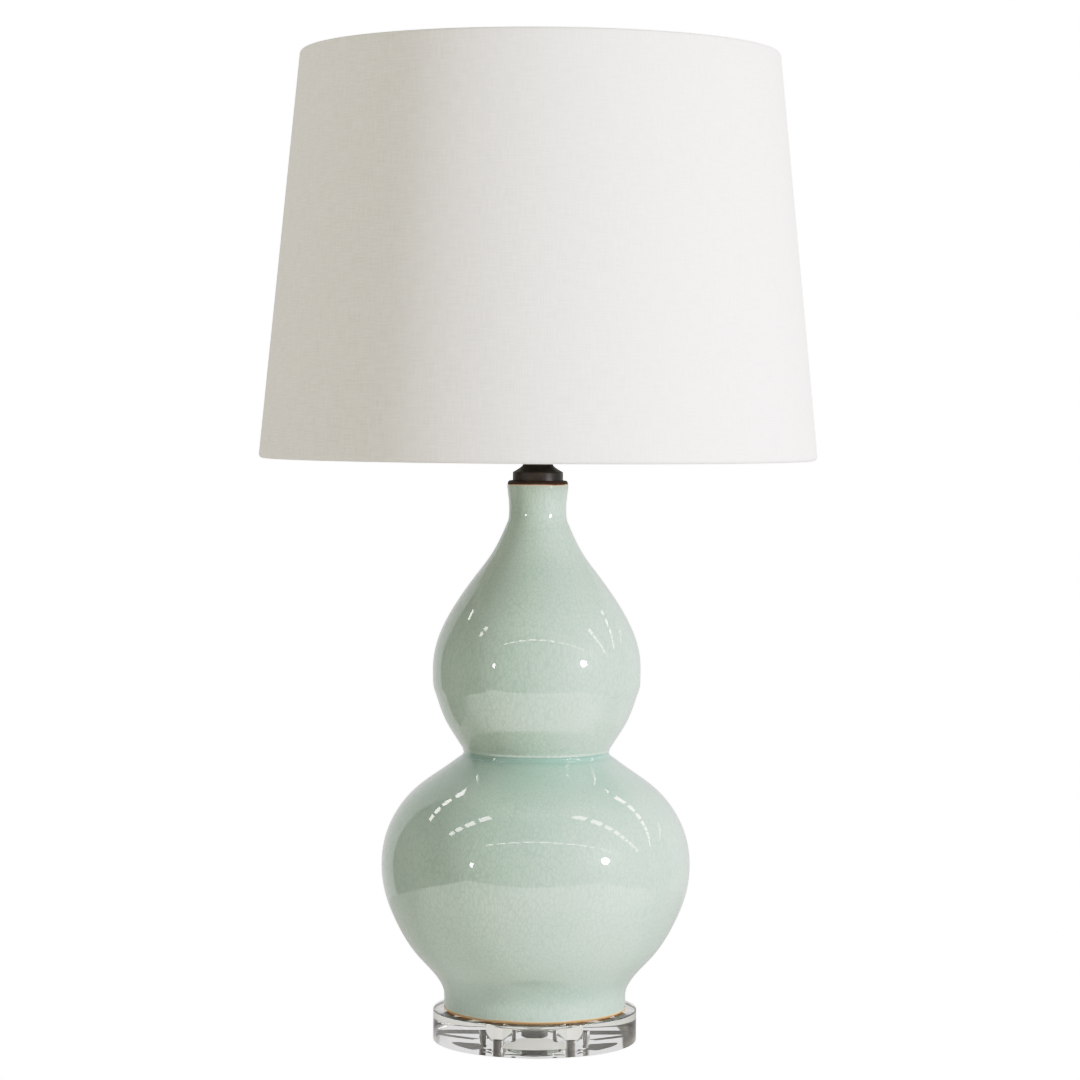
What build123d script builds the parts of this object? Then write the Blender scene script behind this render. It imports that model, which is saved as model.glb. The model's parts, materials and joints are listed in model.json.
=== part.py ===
"""Table lamp: double-gourd ceramic vase on a clear disc, with a harp and a tapered drum shade.

Millimetres, +Z up. The origin is on the table, under the middle of the lamp. The lamp is seen
from -Y, its cord inlet is at the back (+Y), and the harp's two legs stand at -X and +X.
"""

import os
from math import cos, hypot, radians, sin

from build123d import *

os.makedirs("parts", exist_ok=True)

# ---------------------------------------------------------------- driving dimensions

# clearances
seat_gap = 0.05        # between glued or nested pieces that stay still
running_gap = 0.08     # radial, between a shaft and its bearing
bore_gap = 0.35        # radial, where the pipe only passes through a piece

# clear disc, with four rubber plugs let into its underside as feet
bumper_r = 2.9
bumper_height = 1.2    # how far each plug stands out below the disc
bumper_depth = 5.5     # and how far it goes up into it
bumper_edge = 0.4
bumper_circle_r = 27.0
bumper_count = 4
disc_r = 69.85
disc_thickness = 21.6
disc_edge = 0.7
recess_r = 22.2
recess_depth = 12.7

# threaded pipe and the stack of hardware in the disc's recess
pipe_r = 5.15
pipe_bore_r = 3.6
pipe_window_width = 5.0    # side window that lets the wires in
pipe_window_height = 9.0
washer_r = 11.0
washer_thickness = 1.5
lock_washer_r = 8.2
lock_washer_thickness = 1.3
lock_washer_split = 1.2
nut_across_flats = 15.8
nut_height = 5.0

# vase: radius at each station of the profile, and its rise above the station below it
collar_r = 62.35
collar_height = 9.4
belly_r = 105.75
belly_rise = 90.0
waist_r = 50.1
waist_rise = 77.5
bulb_lobe_r = 71.2
bulb_lobe_rise = 56.5
neck_r = 19.65
neck_rise = 110.5
lip_swell = 1.15       # how far the lip stands out past the neck
lip_rise = 14.8
lip_round = 2.2
mouth_rise = 3.7       # from the lip's widest point up to the mouth
# how each stretch curves: points by their share of the way out and of the way up
collar_flare = (0.092, 0.122)
belly_curve = [(0.449, 0.321), (0.768, 0.566), (0.957, 0.812)]
shoulder_curve = [(0.100, 0.351), (0.373, 0.636), (0.833, 0.884), (0.969, 0.955)]
lobe_curve = [(0.059, 0.060), (0.270, 0.182), (0.645, 0.425), (0.922, 0.717)]
neck_curve = [(0.079, 0.203), (0.295, 0.401), (0.594, 0.599), (0.817, 0.748), (0.968, 0.897)]
vase_wall = 6.5
mouth_wall = 5.0
foot_ring_width = 9.5
foot_recess = 11.0
floor_thickness = 6.0
foot_chamfer = 1.0

# grommet for the cord, low at the back
cord_bore_r = 2.6
grommet_barrel_r = 3.4
grommet_flange_r = 4.4
grommet_flange = 1.3
grommet_height = 5.0   # its axis above the vase's foot

# vase cap and the ring that centres it
centring_height = 8.0
cap_r = 17.3
cap_band = 5.9
cap_height = 14.4
cap_top_r = 9.6
cap_sheet = 0.9
cap_shoulder = 0.5
cap_slope = (0.56, 0.32)   # a point of its hollow slope, as shares of the way in and up
cap_slope_start = (-2, 1)  # the slope's direction where it leaves the band

# harp saddle
saddle_sheet = 1.6
saddle_width = 12.7
saddle_rise = 5.0
saddle_flat = 9.0      # half length of its level middle
saddle_pad = 4.0       # half length of the level pad under each leg
saddle_corner = 3.6
leg_spread = 26.5      # from the middle to each leg
post_height = 9.0

# harp
wire_r = 1.9
harp_height = 244.0    # from the saddle's pads to the top of its plate
leg_straight = 34.0
harp_half_width = 57.0
harp_bow_low = 80.0    # above the saddle's pads, where the harp reaches its full width
harp_bow_high = 158.0  # and where it starts to draw in
harp_shoulder = 27.0
harp_bend_r = 20.0
plate_r = 8.5
plate_thickness = 4.0
ferrule_wall = 1.5
ferrule_height = 16.0
ferrule_edge = 0.9

# swivel stud on the harp
stud_r = 3.1
stud_point = 0.8       # bevel at the tip of its thread
stud_head_r = 5.2
stud_head = 1.4
stud_collar_r = 6.4
stud_collar = 3.2
stud_thread = 12.5

# socket
socket_hub_r = 7.4
socket_hub = 3.5
socket_flare = 5.5
socket_cap_r = 17.1
socket_cap_height = 19.0
socket_sheet = 0.9
shell_height = 43.0
shell_lap = 7.0        # how far the shell goes down into the cap
bead = 0.7
liner_sheet = 0.8
liner_short = 2.0      # how far the liner stops below the shell's rim
core_r = 13.4
core_height = 18.0
core_ledge = 2.0       # width of the shell's turned-in ledge under the core
screw_sheet = 0.6
screw_shell_height = 20.0
screw_hole_r = 8.0
terminal_head_r = 2.9
terminal_head = 1.8
terminal_shank_r = 1.4
terminal_shank = 4.0
terminal_depth = 2.2   # how far the core is cut back under each terminal screw
terminal_slot = 7.6    # height of that cut
contact_r = 3.2
contact_height = 1.8

# switch
switch_height = 9.0    # its axis above the foot of the socket's core
shaft_r = 1.6
shaft_inner = 6.0      # from the middle of the lamp to the shaft's inner end
knob_gap = 0.8
knob_hub_r = 3.6
knob_hub = 3.0
knob_length = 13.0
knob_width = 12.0
knob_thickness = 4.2
knob_taper = 3.0       # degrees
knob_edge = 0.8

# bulb
bulb_r = 30.0
bulb_length = 106.0
bulb_neck_r = 12.9
bulb_flare = (0.42, 0.5)   # a point between neck and widest, as shares of the way out and up
bulb_wall = 0.9
screw_r = 13.05
screw_height = 20.0
screw_floor = 5.0      # how far the glass is sunk in the base
insulator_height = 3.6
insulator_r = 10.2
button_r = 4.6
button_height = 1.6

# shade
shade_bottom_r = 190.5
shade_top_r = 162.8
shade_height = 275.2
fitter_drop = 21.7     # from the shade's top edge down to the underside of its hub
linen = 0.7
backing = 0.5
backing_gap = 0.3      # the glue between the linen and its backing
ring_wire_r = 1.6
ring_gap = 0.35        # between a ring and the linen rolled round it
hem_lap = 12.0         # how far the rolled linen comes back inside
hem_flat = 3.0
arm_r = 1.35
arm_count = 3
arm_angle = 30.0
arm_rim = 11.0         # level length of each arm next to the top ring
arm_slope = 12.0
arm_bend_r = 5.0
hub_r = 13.0
hub_thickness = 1.7
hub_lap = 2.6          # how far each arm reaches in under the hub's edge

# finial
finial_height = 31.0
finial_foot_r = 6.8
finial_foot = 1.8
finial_wall = 1.1
finial_ball_r = 7.6
insert_wall = 1.0
insert_depth = 13.5

# ---------------------------------------------------------------- heights of the stack

disc_bottom = bumper_height
recess_top = disc_bottom + recess_depth
foot_z = disc_bottom + disc_thickness
collar_z = foot_z + collar_height
belly_z = collar_z + belly_rise
waist_z = belly_z + waist_rise
bulb_lobe_z = waist_z + bulb_lobe_rise
neck_z = bulb_lobe_z + neck_rise
lip_z = neck_z + lip_rise
mouth_z = lip_z + mouth_rise
cap_top = mouth_z + cap_height
saddle_top = cap_top + saddle_sheet
pad_z = saddle_top + saddle_rise
harp_top = pad_z + harp_height
stud_seat = harp_top + seat_gap + stud_collar
shade_top = stud_seat + fitter_drop
shade_bottom = shade_top - shade_height
grommet_z = foot_z + grommet_height
mouth_r = neck_r - mouth_wall
pipe_hole_r = pipe_r + bore_gap


def save(piece, label):
    """Name a finished piece and write it to its own file."""
    piece.part.label = label
    export_step(piece.part, f"parts/{label}.step")


# ---------------------------------------------------------------- clear disc and its hardware

with BuildPart() as bumper_feet:
    with BuildSketch():
        with PolarLocations(bumper_circle_r, bumper_count, start_angle=45):
            Circle(bumper_r)
    extrude(amount=bumper_height + bumper_depth)
    chamfer(bumper_feet.edges().group_by(Axis.Z)[0], bumper_edge)
save(bumper_feet, "bumper_feet")

with BuildPart() as acrylic_base:
    with BuildSketch(Plane.XY.offset(disc_bottom)):
        Circle(disc_r)
    extrude(amount=disc_thickness)
    rims = acrylic_base.edges().filter_by(GeomType.CIRCLE).group_by(Axis.Z)
    fillet(rims[0] + rims[-1], disc_edge)
    with Locations((0, 0, disc_bottom + disc_thickness)):
        Hole(pipe_hole_r)
    with BuildSketch(Plane.XY.offset(disc_bottom)):
        Circle(recess_r)
    extrude(amount=recess_depth, mode=Mode.SUBTRACT)
    with BuildSketch(Plane.XY.offset(disc_bottom)):
        with PolarLocations(bumper_circle_r, bumper_count, start_angle=45):
            Circle(bumper_r + seat_gap)
    extrude(amount=bumper_depth, mode=Mode.SUBTRACT)
save(acrylic_base, "acrylic_base")

with BuildPart() as base_washer:
    with BuildSketch(Plane.XY.offset(recess_top)):
        Circle(washer_r)
        Circle(pipe_hole_r, mode=Mode.SUBTRACT)
    extrude(amount=-washer_thickness)
save(base_washer, "base_washer")

washer_bottom = recess_top - washer_thickness
with BuildPart() as base_lock_washer:
    with BuildSketch(Plane.XY.offset(washer_bottom)):
        Circle(lock_washer_r)
        Circle(pipe_hole_r, mode=Mode.SUBTRACT)
        with Locations((0, lock_washer_r)):
            Rectangle(lock_washer_split, lock_washer_r * 2, mode=Mode.SUBTRACT)
    extrude(amount=-lock_washer_thickness)
save(base_lock_washer, "base_lock_washer")

nut_top = washer_bottom - lock_washer_thickness
with BuildPart() as base_nut:
    with BuildSketch(Plane.XY.offset(nut_top)):
        RegularPolygon(nut_across_flats / 2, 6, major_radius=False)
        Circle(pipe_r + seat_gap, mode=Mode.SUBTRACT)
    extrude(amount=-nut_height)
save(base_nut, "base_nut")

with BuildPart() as lamp_pipe:
    with BuildSketch(Plane.XY.offset(nut_top - nut_height)):
        Circle(pipe_r)
        Circle(pipe_bore_r, mode=Mode.SUBTRACT)
    extrude(amount=saddle_top + socket_hub + socket_flare - nut_top + nut_height)
    with BuildSketch(Plane.XZ.offset(-pipe_r * 2)):
        with Locations((0, grommet_z)):
            SlotOverall(pipe_window_height, pipe_window_width, rotation=90)
    extrude(amount=pipe_r * 2, mode=Mode.SUBTRACT)
save(lamp_pipe, "lamp_pipe")

# ---------------------------------------------------------------- ceramic vase


def between(start, end, share):
    """A point of a profile, by its share of the way out and of the way up."""
    return (start[0] + (end[0] - start[0]) * share[0], start[1] + (end[1] - start[1]) * share[1])


def gourd_side(inset, low_points, low_slope):
    """Draw the wall's profile from its low points to the neck, moved in by inset."""
    collar = (collar_r - inset, collar_z)
    belly = (belly_r - inset, belly_z)
    waist = (waist_r - inset, waist_z)
    lobe = (bulb_lobe_r - inset, bulb_lobe_z)
    neck = (neck_r - min(inset, mouth_wall), neck_z)
    Spline(
        *low_points,
        *[between(collar, belly, share) for share in belly_curve],
        belly,
        tangents=[low_slope, (0, 1)],
        tangent_scalars=(1, 1),
    )
    for start, curve, end in [
        (belly, shoulder_curve, waist),
        (waist, lobe_curve, lobe),
        (lobe, neck_curve, neck),
    ]:
        Spline(start, *[between(start, end, share) for share in curve], end, tangents=[(0, 1), (0, 1)])
    return neck


foot_inner_r = collar_r - foot_ring_width
recess_ceiling = foot_z + foot_recess
floor_z = recess_ceiling + floor_thickness
collar_top = (collar_r, collar_z)
flare_point = between(collar_top, (belly_r, belly_z), collar_flare)
floor_corner = (collar_r - vase_wall, floor_z)
lip_r = neck_r + lip_swell
lip = (lip_r, lip_z)
lip_edge = (lip_r - lip_round, mouth_z)

with BuildPart() as vase_body:
    with BuildSketch(Plane.XZ):
        with BuildLine():
            outer_neck = gourd_side(0, [collar_top, flare_point], (0, 1))
            Spline(outer_neck, lip, tangents=[(0, 1), (0, 1)])
            Spline(lip, lip_edge, tangents=[(0, 1), (-1, 0)])
            Polyline(lip_edge, (mouth_r, mouth_z), (mouth_r, neck_z))
            gourd_side(vase_wall, [floor_corner], (1, 1))
            Polyline(
                floor_corner,
                (pipe_hole_r, floor_z),
                (pipe_hole_r, recess_ceiling),
                (foot_inner_r, recess_ceiling),
                (foot_inner_r, foot_z),
                (collar_r - foot_chamfer, foot_z),
                (collar_r, foot_z + foot_chamfer),
                collar_top,
            )
        make_face()
    revolve(axis=Axis.Z)
    with BuildSketch(Plane.XZ.offset(-collar_r - foot_ring_width)):
        with Locations((0, grommet_z)):
            Circle(grommet_barrel_r + seat_gap)
    extrude(amount=foot_ring_width * 3, mode=Mode.SUBTRACT)
save(vase_body, "vase_body")

flange_y = collar_r + grommet_flange
with BuildPart() as cord_grommet:
    with BuildSketch(Plane.XZ.offset(-flange_y)):
        with Locations((0, grommet_z)):
            Circle(grommet_flange_r)
    extrude(amount=grommet_flange * 2)
    with BuildSketch(Plane.XY.offset(foot_z)):
        Circle(collar_r + seat_gap)
    extrude(amount=grommet_height * 3, mode=Mode.SUBTRACT)
    with BuildSketch(Plane.XZ.offset(-flange_y)):
        with Locations((0, grommet_z)):
            Circle(grommet_barrel_r)
    extrude(amount=grommet_flange + foot_ring_width)
    fillet(cord_grommet.edges().filter_by(GeomType.CIRCLE).sort_by(Axis.Y)[-1], grommet_flange / 2)
    with BuildSketch(Plane.XZ.offset(-flange_y)):
        with Locations((0, grommet_z)):
            Circle(cord_bore_r)
    extrude(amount=grommet_flange + foot_ring_width, mode=Mode.SUBTRACT)
save(cord_grommet, "cord_grommet")

# ---------------------------------------------------------------- vase cap

with BuildPart() as cap_centring_ring:
    with BuildSketch(Plane.XY.offset(mouth_z)):
        Circle(mouth_r - seat_gap)
        Circle(pipe_r + seat_gap, mode=Mode.SUBTRACT)
    extrude(amount=-centring_height)
    chamfer(cap_centring_ring.edges().group_by(Axis.Z)[0], cap_sheet)
save(cap_centring_ring, "cap_centring_ring")

with BuildPart() as vase_cap:
    with BuildSketch(Plane.XZ):
        with BuildLine():
            band_top = (cap_r - cap_shoulder, mouth_z + cap_band)
            throat = (cap_top_r, cap_top - cap_sheet)
            Polyline(
                (cap_r - cap_sheet, mouth_z),
                (cap_r, mouth_z),
                (cap_r, band_top[1] - cap_shoulder),
                band_top,
            )
            Spline(
                band_top,
                between(band_top, throat, cap_slope),
                throat,
                tangents=[cap_slope_start, (0, 1)],
            )
            Polyline(
                throat,
                (cap_top_r - cap_sheet / 2, cap_top),
                (pipe_hole_r, cap_top),
                (pipe_hole_r, cap_top - cap_sheet),
                (cap_top_r - cap_sheet, cap_top - cap_sheet * 2),
            )
            inner_band = (cap_r - cap_sheet, mouth_z + cap_band - cap_sheet)
            inner_throat = (cap_top_r - cap_sheet, cap_top - cap_sheet * 2)
            Spline(
                inner_throat,
                between(inner_band, inner_throat, cap_slope),
                inner_band,
                tangents=[(0, -1), (-cap_slope_start[0], -cap_slope_start[1])],
            )
            Line(inner_band, (cap_r - cap_sheet, mouth_z))
        make_face()
    revolve(axis=Axis.Z)
save(vase_cap, "vase_cap")

# ---------------------------------------------------------------- harp saddle

with BuildPart() as harp_saddle:
    with BuildSketch(Plane.XZ.offset(-saddle_width / 2)):
        with BuildLine():
            upper = [
                (saddle_flat, saddle_top),
                (leg_spread - saddle_pad, pad_z),
                (leg_spread + saddle_pad, pad_z),
            ]
            lower = [(x, z - saddle_sheet) for x, z in reversed(upper)]
            mirrored_lower = [(-x, z) for x, z in reversed(lower)]
            mirrored_upper = [(-x, z) for x, z in reversed(upper)]
            Polyline(*upper, *lower, *mirrored_lower, *mirrored_upper, close=True)
        make_face()
    extrude(amount=saddle_width)
    fillet(harp_saddle.edges().filter_by(Axis.Z), saddle_corner)
    with Locations((0, 0, saddle_top)):
        Hole(pipe_hole_r)
    with BuildSketch(Plane.XY.offset(pad_z)):
        with Locations((-leg_spread, 0), (leg_spread, 0)):
            Circle(wire_r)
    extrude(amount=post_height)
save(harp_saddle, "harp_saddle")

# ---------------------------------------------------------------- socket

cap_rim_z = saddle_top + socket_cap_height
shell_r = socket_cap_r - socket_sheet - seat_gap
shell_bottom = cap_rim_z - shell_lap
shell_top = shell_bottom + shell_height
liner_r = shell_r - socket_sheet - seat_gap
core_bottom = shell_bottom + socket_sheet
core_top = core_bottom + core_height
switch_z = core_bottom + switch_height

with BuildPart() as socket_cap:
    with BuildSketch(Plane.XZ):
        with BuildLine():
            hub_top = (socket_hub_r, saddle_top + socket_hub)
            flare_top = (socket_cap_r, saddle_top + socket_hub + socket_flare)
            bore_r = pipe_r + seat_gap
            Polyline((bore_r, saddle_top), (socket_hub_r, saddle_top), hub_top)
            Spline(hub_top, flare_top, tangents=[(1, 0), (0, 1)])
            Polyline(
                flare_top,
                (socket_cap_r, cap_rim_z),
                (socket_cap_r - socket_sheet, cap_rim_z),
                (socket_cap_r - socket_sheet, flare_top[1]),
            )
            inner_hub = (socket_hub_r, hub_top[1] + socket_sheet)
            Spline((socket_cap_r - socket_sheet, flare_top[1]), inner_hub, tangents=[(0, -1), (-1, 0)])
            Polyline(inner_hub, (bore_r, inner_hub[1]), (bore_r, saddle_top))
        make_face()
    revolve(axis=Axis.Z)
save(socket_cap, "socket_cap")

with BuildPart() as socket_shell:
    with BuildSketch(Plane.XZ):
        with BuildLine():
            inner = shell_r - socket_sheet
            Polyline(
                (inner, shell_top),
                (inner, core_bottom),
                (core_r - core_ledge, core_bottom),
                (core_r - core_ledge, shell_bottom),
                (shell_r, shell_bottom),
                (shell_r, shell_top - bead * 2),
            )
            ThreePointArc((shell_r, shell_top - bead * 2), (shell_r + bead, shell_top - bead), (shell_r, shell_top))
            Line((shell_r, shell_top), (inner, shell_top))
        make_face()
    revolve(axis=Axis.Z)
    with BuildSketch(Plane.XZ):
        with Locations((0, switch_z)):
            Circle(shaft_r + bore_gap)
    extrude(amount=socket_cap_r * 2, mode=Mode.SUBTRACT)
save(socket_shell, "socket_shell")

with BuildPart() as socket_liner:
    with BuildSketch(Plane.XY.offset(core_bottom)):
        Circle(liner_r)
        Circle(liner_r - liner_sheet, mode=Mode.SUBTRACT)
    extrude(amount=shell_top - liner_short - core_bottom)
    with BuildSketch(Plane.XZ):
        with Locations((0, switch_z)):
            Circle(shaft_r + bore_gap)
    extrude(amount=socket_cap_r * 2, mode=Mode.SUBTRACT)
save(socket_liner, "socket_liner")

terminal_x = core_r - terminal_depth
with BuildPart() as socket_core:
    with BuildSketch(Plane.XY.offset(core_bottom)):
        Circle(core_r)
    extrude(amount=core_height)
    for side in (-1, 1):
        with BuildSketch(Plane.YZ.offset(side * terminal_x)):
            with Locations((0, switch_z)):
                Rectangle(core_r * 2, terminal_slot)
        extrude(amount=side * core_r, mode=Mode.SUBTRACT)
        with BuildSketch(Plane.YZ.offset(side * terminal_x)):
            with Locations((0, switch_z)):
                Circle(terminal_shank_r + seat_gap)
        extrude(amount=-side * (terminal_shank + seat_gap), mode=Mode.SUBTRACT)
    with BuildSketch(Plane.XZ.offset(shaft_inner - seat_gap)):
        with Locations((0, switch_z)):
            Circle(shaft_r + running_gap)
    extrude(amount=core_r, mode=Mode.SUBTRACT)
save(socket_core, "socket_core")

with BuildPart() as terminal_screws:
    for side in (-1, 1):
        with BuildSketch(Plane.YZ.offset(side * terminal_x)):
            with Locations((0, switch_z)):
                Circle(terminal_head_r)
        extrude(amount=side * terminal_head)
        with BuildSketch(Plane.YZ.offset(side * terminal_x)):
            with Locations((0, switch_z)):
                Circle(terminal_shank_r)
        extrude(amount=-side * terminal_shank)
save(terminal_screws, "terminal_screws")

screw_shell_r = screw_r + running_gap + screw_sheet
with BuildPart() as screw_shell:
    with BuildSketch(Plane.XY.offset(core_top)):
        Circle(screw_shell_r)
        Circle(screw_hole_r, mode=Mode.SUBTRACT)
    extrude(amount=screw_sheet)
    with BuildSketch(Plane.XY.offset(core_top)):
        Circle(screw_shell_r)
        Circle(screw_shell_r - screw_sheet, mode=Mode.SUBTRACT)
    extrude(amount=screw_shell_height)
save(screw_shell, "screw_shell")

with BuildPart() as centre_contact:
    with BuildSketch(Plane.XY.offset(core_top)):
        Circle(contact_r)
    extrude(amount=contact_height)
    chamfer(centre_contact.edges().group_by(Axis.Z)[-1], contact_height / 3)
save(centre_contact, "centre_contact")

# ---------------------------------------------------------------- switch

knob_face = socket_cap_r + knob_gap
with BuildPart() as switch_shaft:
    with BuildSketch(Plane.XZ.offset(shaft_inner)):
        with Locations((0, switch_z)):
            Circle(shaft_r)
    extrude(amount=knob_face + knob_hub - shaft_inner)
save(switch_shaft, "switch_shaft")

with BuildPart() as switch_knob:
    with BuildSketch(Plane.XZ.offset(knob_face)):
        with Locations((0, switch_z)):
            Circle(knob_hub_r)
    extrude(amount=knob_hub)
    with BuildSketch(Plane.XZ.offset(knob_face + knob_hub)):
        with Locations((0, switch_z)):
            SlotOverall(knob_width, knob_thickness, rotation=90)
    extrude(amount=knob_length - knob_hub, taper=knob_taper)
    fillet(switch_knob.edges().group_by(Axis.Y)[0], knob_edge)
    with BuildSketch(Plane.XZ.offset(knob_face)):
        with Locations((0, switch_z)):
            Circle(shaft_r + seat_gap)
    extrude(amount=knob_hub, mode=Mode.SUBTRACT)
save(switch_knob, "switch_knob")

# ---------------------------------------------------------------- bulb

bulb_z = core_top + contact_height
insulator_z = bulb_z + button_height
screw_z = insulator_z + insulator_height
screw_top = screw_z + screw_height
bulb_top = bulb_z + bulb_length
bulb_middle = bulb_top - bulb_r

with BuildPart() as bulb_contact:
    with BuildSketch(Plane.XY.offset(bulb_z)):
        Circle(button_r)
    extrude(amount=button_height)
    fillet(bulb_contact.edges().group_by(Axis.Z)[0], button_height / 2)
save(bulb_contact, "bulb_contact")

with BuildPart() as bulb_insulator:
    with BuildSketch(Plane.XY.offset(insulator_z)):
        Circle(button_r)
    with BuildSketch(Plane.XY.offset(screw_z)):
        Circle(insulator_r)
    loft()
save(bulb_insulator, "bulb_insulator")

with BuildPart() as bulb_base:
    with BuildSketch(Plane.XZ):
        with BuildLine():
            Polyline(
                (0, screw_z),
                (insulator_r, screw_z),
                (screw_r, screw_z + screw_sheet * 3),
                (screw_r, screw_top),
                (bulb_neck_r - bulb_wall, screw_top),
                (bulb_neck_r - bulb_wall, screw_top - screw_floor),
                (0, screw_top - screw_floor),
                close=True,
            )
        make_face()
    revolve(axis=Axis.Z)
save(bulb_base, "bulb_base")


def bulb_side(inset):
    """Draw the glass from its neck to its crown, moved in by inset."""
    neck = (bulb_neck_r - inset, screw_top)
    widest = (bulb_r - inset, bulb_middle)
    crown = (0, bulb_top - inset)
    Spline(neck, between(neck, widest, bulb_flare), widest, tangents=[(0, 1), (0, 1)])
    ThreePointArc(
        widest,
        (widest[0] * cos(radians(45)), bulb_middle + widest[0] * sin(radians(45))),
        crown,
    )


with BuildPart() as bulb_glass:
    with BuildSketch(Plane.XZ):
        with BuildLine():
            bulb_side(0)
            Line((0, bulb_top), (0, bulb_top - bulb_wall))
            bulb_side(bulb_wall)
            Line((bulb_neck_r - bulb_wall, screw_top), (bulb_neck_r, screw_top))
        make_face()
    revolve(axis=Axis.Z)
save(bulb_glass, "bulb_glass")

# ---------------------------------------------------------------- harp

leg_foot = pad_z + post_height
plate_mid = harp_top - plate_thickness / 2
with BuildPart() as harp_wire:
    with BuildLine(Plane.XZ) as leg_path:
        FilletPolyline(
            (leg_spread, leg_foot),
            (leg_spread, leg_foot + leg_straight),
            (harp_half_width, pad_z + harp_bow_low),
            (harp_half_width, pad_z + harp_bow_high),
            (harp_shoulder, plate_mid),
            (plate_r / 2, plate_mid),
            radius=harp_bend_r,
        )
    with BuildSketch(Plane.XY.offset(leg_foot)):
        with Locations((leg_spread, 0)):
            Circle(wire_r)
    sweep(path=leg_path.line)
    mirror(about=Plane.YZ)
    with BuildSketch(Plane.XY.offset(harp_top)):
        Circle(plate_r)
    extrude(amount=-plate_thickness)
    with Locations((0, 0, harp_top)):
        Hole(stud_r + running_gap)
save(harp_wire, "harp_wire")

ferrules = {"ferrule_left": -leg_spread, "ferrule_right": leg_spread}
for label, leg_x in ferrules.items():
    with BuildPart() as ferrule:
        with BuildSketch(Plane.XY.offset(pad_z)):
            with Locations((leg_x, 0)):
                Circle(wire_r + running_gap + ferrule_wall)
                Circle(wire_r + running_gap, mode=Mode.SUBTRACT)
        extrude(amount=ferrule_height)
        fillet(ferrule.edges().group_by(Axis.Z)[-1].sort_by(SortBy.RADIUS)[-1], ferrule_edge)
    save(ferrule, label)

head_top = harp_top - plate_thickness - seat_gap
with BuildPart() as harp_stud:
    with BuildSketch(Plane.XZ):
        with BuildLine():
            Polyline(
                (0, head_top - stud_head),
                (stud_head_r - stud_head / 2, head_top - stud_head),
                (stud_head_r, head_top - stud_head / 2),
                (stud_head_r, head_top),
                (stud_r, head_top),
                (stud_r, harp_top + seat_gap),
                (stud_collar_r, harp_top + seat_gap),
                (stud_collar_r, stud_seat),
                (stud_r, stud_seat),
                (stud_r, stud_seat + stud_thread - stud_point),
                (stud_r - stud_point, stud_seat + stud_thread),
                (0, stud_seat + stud_thread),
                close=True,
            )
        make_face()
    revolve(axis=Axis.Z)
save(harp_stud, "harp_stud")

# ---------------------------------------------------------------- shade

slant = hypot(shade_bottom_r - shade_top_r, shade_height)
lean_in = (shade_bottom_r - shade_top_r) / slant
lean_up = shade_height / slant
roll_r = ring_wire_r + ring_gap + linen
backing_start = roll_r + ring_wire_r + ring_gap
backing_face = linen + backing_gap
lap_depth = backing_face + backing + backing_gap + linen


def on_wall(up, inward):
    """A point of the shade's section: distance up the slant, and distance in from its outer face."""
    return (
        shade_bottom_r - up * lean_in - inward * lean_up,
        shade_bottom + up * lean_up - inward * lean_in,
    )


def rolled_hem(edge, toward):
    """Draw the linen round one ring: the roll, the lap inside, and the way back to the wall."""
    centre = edge + toward * roll_r
    inner_r = roll_r - linen
    lap_start = centre + toward * hem_flat
    lap_flat = edge + toward * (hem_lap - hem_flat)
    lap_end = edge + toward * hem_lap
    ThreePointArc(on_wall(centre, 0), on_wall(edge, roll_r), on_wall(centre, roll_r * 2))
    Polyline(
        on_wall(centre, roll_r * 2),
        on_wall(lap_start, roll_r * 2),
        on_wall(lap_flat, lap_depth),
        on_wall(lap_end, lap_depth),
        on_wall(lap_end, lap_depth - linen),
        on_wall(lap_flat, lap_depth - linen),
        on_wall(lap_start, roll_r * 2 - linen),
        on_wall(centre, roll_r * 2 - linen),
    )
    ThreePointArc(
        on_wall(centre, roll_r * 2 - linen),
        on_wall(centre - toward * inner_r, roll_r),
        on_wall(centre, linen),
    )


with BuildPart() as shade_backing:
    with BuildSketch(Plane.XZ):
        with BuildLine():
            Polyline(
                on_wall(backing_start, backing_face),
                on_wall(slant - backing_start, backing_face),
                on_wall(slant - backing_start, backing_face + backing),
                on_wall(backing_start, backing_face + backing),
                close=True,
            )
        make_face()
    revolve(axis=Axis.Z)
save(shade_backing, "shade_backing")

with BuildPart() as bottom_ring:
    with BuildSketch(Plane.XZ):
        with Locations(on_wall(roll_r, roll_r)):
            Circle(ring_wire_r)
    revolve(axis=Axis.Z)
save(bottom_ring, "bottom_ring")

hub_mid = stud_seat + hub_thickness / 2
ring_x, ring_z = on_wall(slant - roll_r, roll_r)
arm_planes = [
    Plane((0, 0, 0), x_dir=(cos(turn), sin(turn), 0), z_dir=(sin(turn), -cos(turn), 0))
    for turn in [radians(arm_angle + step * 360 / arm_count) for step in range(arm_count)]
]
with BuildPart() as spider_fitter:
    with BuildSketch(Plane.XZ):
        with Locations((ring_x, ring_z)):
            Circle(ring_wire_r)
    revolve(axis=Axis.Z)
    for arm_plane in arm_planes:
        with BuildLine(arm_plane) as arm_path:
            FilletPolyline(
                (hub_r - hub_lap, hub_mid),
                (ring_x - arm_rim - arm_slope, hub_mid),
                (ring_x - arm_rim, ring_z),
                (ring_x, ring_z),
                radius=arm_bend_r,
            )
        with BuildSketch(Plane(arm_path.line @ 0, z_dir=arm_path.line % 0)):
            Circle(arm_r)
        sweep(path=arm_path.line)
    with BuildSketch(Plane.XY.offset(stud_seat)):
        Circle(hub_r)
    extrude(amount=hub_thickness)
    with BuildSketch(Plane.XY.offset(stud_seat)):
        Circle(stud_r + bore_gap)
    extrude(amount=hub_thickness, mode=Mode.SUBTRACT)
save(spider_fitter, "spider_fitter")

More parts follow.
